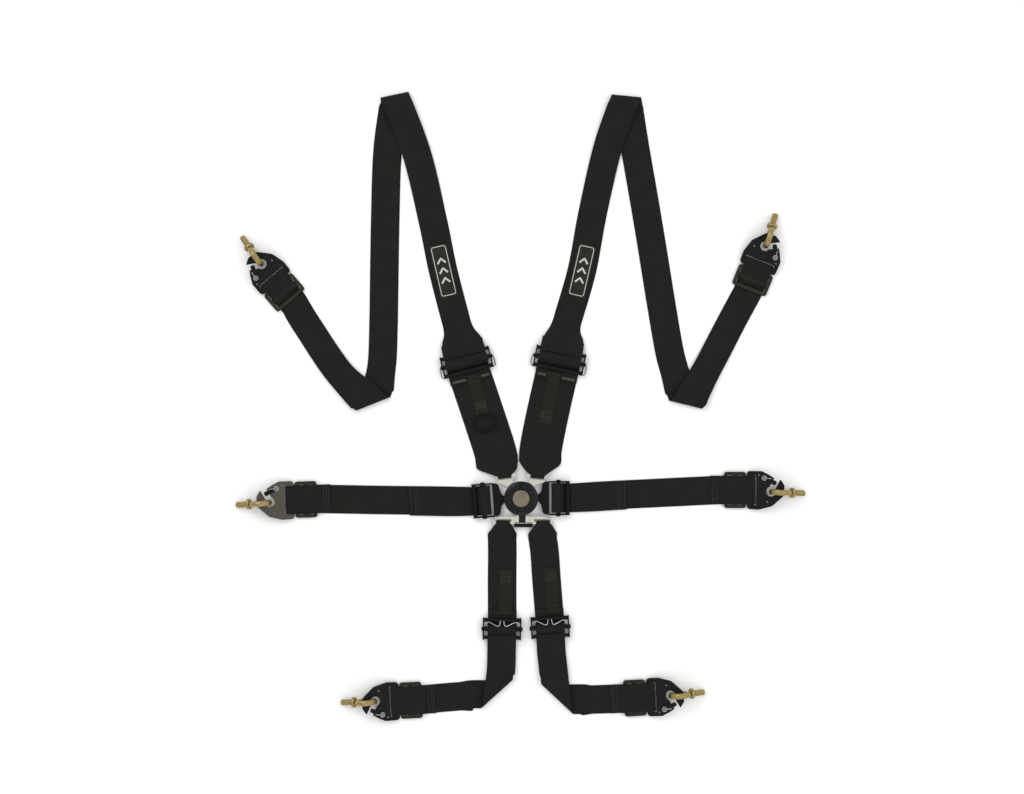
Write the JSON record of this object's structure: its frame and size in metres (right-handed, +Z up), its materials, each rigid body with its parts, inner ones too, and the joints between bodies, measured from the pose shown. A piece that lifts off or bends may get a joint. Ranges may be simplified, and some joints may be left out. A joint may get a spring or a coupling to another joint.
{
  "type": "racing harness",
  "caption": "Motor racing harness of black webbing with a rotary release buckle, shoulder, lap and crotch straps, adjusters and snap hooks on eyebolts.",
  "frame": {"origin": "on the buckle's turning axis, at the floor that the harness lies on, which is the plane of the buckle's back plate", "axes": "+X from the buckle along the right-hand lap strap as laid out, +Y towards the shoulder straps, +Z up out of the buckle's knob"},
  "size_m": [1.035, 1.1431, 0.042],
  "materials": {
    "webbing": "woven polyester, matt with a faint sheen",
    "tab_webbing": "narrow woven tape",
    "label_tape": "satin tape with a printed white border",
    "hook_steel": "black phosphated steel",
    "hook_steel_bronze": "gunmetal plated steel",
    "gate_steel": "black oxide steel",
    "yellow_zinc": "yellow passivated zinc plated steel",
    "slider_steel": "grey-green phosphated steel",
    "rivet_steel": "plain steel rivets",
    "spring_wire": "bright spring wire",
    "grip_bar_steel": "black oxide, knurled",
    "adjuster_steel": "black plated steel",
    "lap_tongue_steel": "black plated steel",
    "tongue_chrome": "polished chrome plate",
    "base_plate_steel": "zinc plated steel",
    "housing_alloy": "cast alloy, dark anodised",
    "knob_coating": "satin black anodised alloy",
    "cap_metal": "bronze-grey brushed disc",
    "latch_steel": "ground steel",
    "screw_steel": "plain steel"
  },
  "bodies": {
    "harness": {"hook_plate_shoulder_left": "hook_steel", "hook_plate_shoulder_right": "hook_steel", "hook_plate_lap_left": "hook_steel_bronze", "hook_plate_lap_right": "hook_steel", "hook_plate_crotch_left": "hook_steel", "hook_plate_crotch_right": "hook_steel", "strap_sliders": "slider_steel", "gate_rivets": "rivet_steel", "gate_springs": "spring_wire", "adjuster_frame_shoulder_left": "adjuster_steel", "adjuster_frame_shoulder_right": "adjuster_steel", "adjuster_frame_crotch_left": "adjuster_steel", "adjuster_frame_crotch_right": "adjuster_steel", "lap_tongue_left": "lap_tongue_steel", "lap_tongue_right": "lap_tongue_steel", "adjuster_springs": "spring_wire", "buckle_base_plate": "base_plate_steel", "buckle_housing": "housing_alloy", "buckle_screws_and_post": "screw_steel", "buckle_springs": "spring_wire", "shoulder_tongue_left": "tongue_chrome", "shoulder_tongue_right": "tongue_chrome", "crotch_tongue": "tongue_chrome", "lap_strap_left": "webbing", "lap_strap_right": "webbing", "shoulder_lower_left": "webbing", "shoulder_lower_right": "webbing", "crotch_upper_left": "webbing", "crotch_upper_right": "webbing", "shoulder_upper_left": "webbing", "shoulder_upper_right": "webbing", "crotch_lower_left": "webbing", "crotch_lower_right": "webbing", "strap_labels": "label_tape", "pull_tabs": "tab_webbing"},
    "knob": {"release_knob": "knob_coating", "centre_cap": "cap_metal", "cam_disc": "latch_steel"},
    "latch_shoulder_left": {"latch_pin_shoulder_left": "latch_steel"},
    "latch_shoulder_right": {"latch_pin_shoulder_right": "latch_steel"},
    "latch_lap_right": {"latch_pin_lap_right": "latch_steel"},
    "latch_crotch": {"latch_pin_crotch": "latch_steel"},
    "gate_shoulder_left": {"hook_gate_shoulder_left": "gate_steel"},
    "bolt_shoulder_left": {"eyebolt_shoulder_left": "yellow_zinc"},
    "gate_shoulder_right": {"hook_gate_shoulder_right": "gate_steel"},
    "bolt_shoulder_right": {"eyebolt_shoulder_right": "yellow_zinc"},
    "gate_lap_left": {"hook_gate_lap_left": "gate_steel"},
    "bolt_lap_left": {"eyebolt_lap_left": "yellow_zinc"},
    "gate_lap_right": {"hook_gate_lap_right": "gate_steel"},
    "bolt_lap_right": {"eyebolt_lap_right": "yellow_zinc"},
    "gate_crotch_left": {"hook_gate_crotch_left": "gate_steel"},
    "bolt_crotch_left": {"eyebolt_crotch_left": "yellow_zinc"},
    "gate_crotch_right": {"hook_gate_crotch_right": "gate_steel"},
    "bolt_crotch_right": {"eyebolt_crotch_right": "yellow_zinc"},
    "grip_shoulder_left": {"grip_bar_shoulder_left": "grip_bar_steel"},
    "grip_shoulder_right": {"grip_bar_shoulder_right": "grip_bar_steel"},
    "grip_crotch_left": {"grip_bar_crotch_left": "grip_bar_steel"},
    "grip_crotch_right": {"grip_bar_crotch_right": "grip_bar_steel"},
    "grip_lap_left": {"grip_bar_lap_left": "grip_bar_steel"},
    "grip_lap_right": {"grip_bar_lap_right": "grip_bar_steel"}
  },
  "joints": [
    {"name": "knob_turn", "type": "hinge", "parent": "harness", "child": "knob", "pos_m": [0, 0, 0.02], "axis": [0, 0, 1], "range_deg": [-60, 60], "stiffness_Nm_per_rad": 0.6},
    {"name": "latch_lift_shoulder_left", "type": "slide", "parent": "harness", "child": "latch_shoulder_left", "axis": [0, 0, 1], "range_m": [0, 0.0048], "stiffness_N_per_m": 400, "deforming": ["buckle_springs"]},
    {"name": "latch_lift_shoulder_right", "type": "slide", "parent": "harness", "child": "latch_shoulder_right", "axis": [0, 0, 1], "range_m": [0, 0.0048], "stiffness_N_per_m": 400, "deforming": ["buckle_springs"]},
    {"name": "latch_lift_lap_right", "type": "slide", "parent": "harness", "child": "latch_lap_right", "axis": [0, 0, 1], "range_m": [0, 0.0048], "stiffness_N_per_m": 400, "deforming": ["buckle_springs"]},
    {"name": "latch_lift_crotch", "type": "slide", "parent": "harness", "child": "latch_crotch", "axis": [0, 0, 1], "range_m": [0, 0.0048], "stiffness_N_per_m": 400, "deforming": ["buckle_springs"]},
    {"name": "gate_open_shoulder_left", "type": "hinge", "parent": "harness", "child": "gate_shoulder_left", "pos_m": [-0.48096, 0.3992, 0.01339], "axis": [-0.1461, 0.1711, -0.9744], "range_deg": [0, 12], "stiffness_Nm_per_rad": 0.02},
    {"name": "eyebolt_swing_shoulder_left", "type": "hinge", "parent": "harness", "child": "bolt_shoulder_left", "pos_m": [-0.48022, 0.4376, 0.021], "axis": [0.809, 0.5878, 0], "range_deg": [-30, 75]},
    {"name": "gate_open_shoulder_right", "type": "hinge", "parent": "harness", "child": "gate_shoulder_right", "pos_m": [0.46092, 0.43639, 0.01339], "axis": [-0.0843, -0.2086, 0.9744], "range_deg": [0, 12], "stiffness_Nm_per_rad": 0.02},
    {"name": "eyebolt_swing_shoulder_right", "type": "hinge", "parent": "harness", "child": "bolt_shoulder_right", "pos_m": [0.44804, 0.47257, 0.021], "axis": [0.9455, -0.3256, 0], "range_deg": [-30, 75]},
    {"name": "gate_open_lap_left", "type": "hinge", "parent": "harness", "child": "gate_lap_left", "pos_m": [-0.44398, 0.01743, 0.01339], "axis": [0.2248, 0.0079, 0.9744], "range_deg": [0, 12], "stiffness_Nm_per_rad": 0.02},
    {"name": "eyebolt_swing_lap_left", "type": "hinge", "parent": "harness", "child": "bolt_lap_left", "pos_m": [-0.47179, -0.00906, 0.021], "axis": [-0.0872, 0.9962, 0], "range_deg": [-30, 75]},
    {"name": "gate_open_lap_right", "type": "hinge", "parent": "harness", "child": "gate_lap_right", "pos_m": [0.44123, 0.0365, 0.01339], "axis": [0.225, 0, -0.9744], "range_deg": [0, 12], "stiffness_Nm_per_rad": 0.02},
    {"name": "eyebolt_swing_lap_right", "type": "hinge", "parent": "harness", "child": "bolt_lap_right", "pos_m": [0.46995, 0.011, 0.021], "axis": [-0.0523, -0.9986, 0], "range_deg": [-30, 75]},
    {"name": "gate_open_crotch_left", "type": "hinge", "parent": "harness", "child": "gate_crotch_left", "pos_m": [-0.25104, -0.39255, 0.01339], "axis": [-0.2246, -0.0118, -0.9744], "range_deg": [0, 12], "stiffness_Nm_per_rad": 0.02},
    {"name": "eyebolt_swing_crotch_left", "type": "hinge", "parent": "harness", "child": "bolt_crotch_left", "pos_m": [-0.28105, -0.36859, 0.021], "axis": [-0.0698, 0.9976, 0], "range_deg": [-30, 75]},
    {"name": "gate_open_crotch_right", "type": "hinge", "parent": "harness", "child": "gate_crotch_right", "pos_m": [0.26034, -0.38289, 0.01339], "axis": [-0.2246, -0.0118, 0.9744], "range_deg": [0, 12], "stiffness_Nm_per_rad": 0.02},
    {"name": "eyebolt_swing_crotch_right", "type": "hinge", "parent": "harness", "child": "bolt_crotch_right", "pos_m": [0.28769, -0.35592, 0.021], "axis": [0.0698, -0.9976, 0], "range_deg": [-30, 75]},
    {"name": "grip_slide_shoulder_left", "type": "slide", "parent": "harness", "child": "grip_shoulder_left", "axis": [-0.247, 0.969, 0], "range_m": [0, 0.002], "stiffness_N_per_m": 300},
    {"name": "grip_slide_shoulder_right", "type": "slide", "parent": "harness", "child": "grip_shoulder_right", "axis": [0.1959, 0.9806, 0], "range_m": [0, 0.002], "stiffness_N_per_m": 300},
    {"name": "grip_slide_crotch_left", "type": "slide", "parent": "harness", "child": "grip_crotch_left", "axis": [-0.0175, -0.9998, 0], "range_m": [0, 0.002], "stiffness_N_per_m": 300},
    {"name": "grip_slide_crotch_right", "type": "slide", "parent": "harness", "child": "grip_crotch_right", "axis": [0.0523, -0.9986, 0], "range_m": [0, 0.002], "stiffness_N_per_m": 300},
    {"name": "grip_slide_lap_left", "type": "slide", "parent": "harness", "child": "grip_lap_left", "axis": [0.9976, 0.0698, 0], "range_m": [0, 0.002], "stiffness_N_per_m": 300},
    {"name": "grip_slide_lap_right", "type": "slide", "parent": "harness", "child": "grip_lap_right", "axis": [-1, 0, 0], "range_m": [0, 0.002], "stiffness_N_per_m": 300}
  ]
}
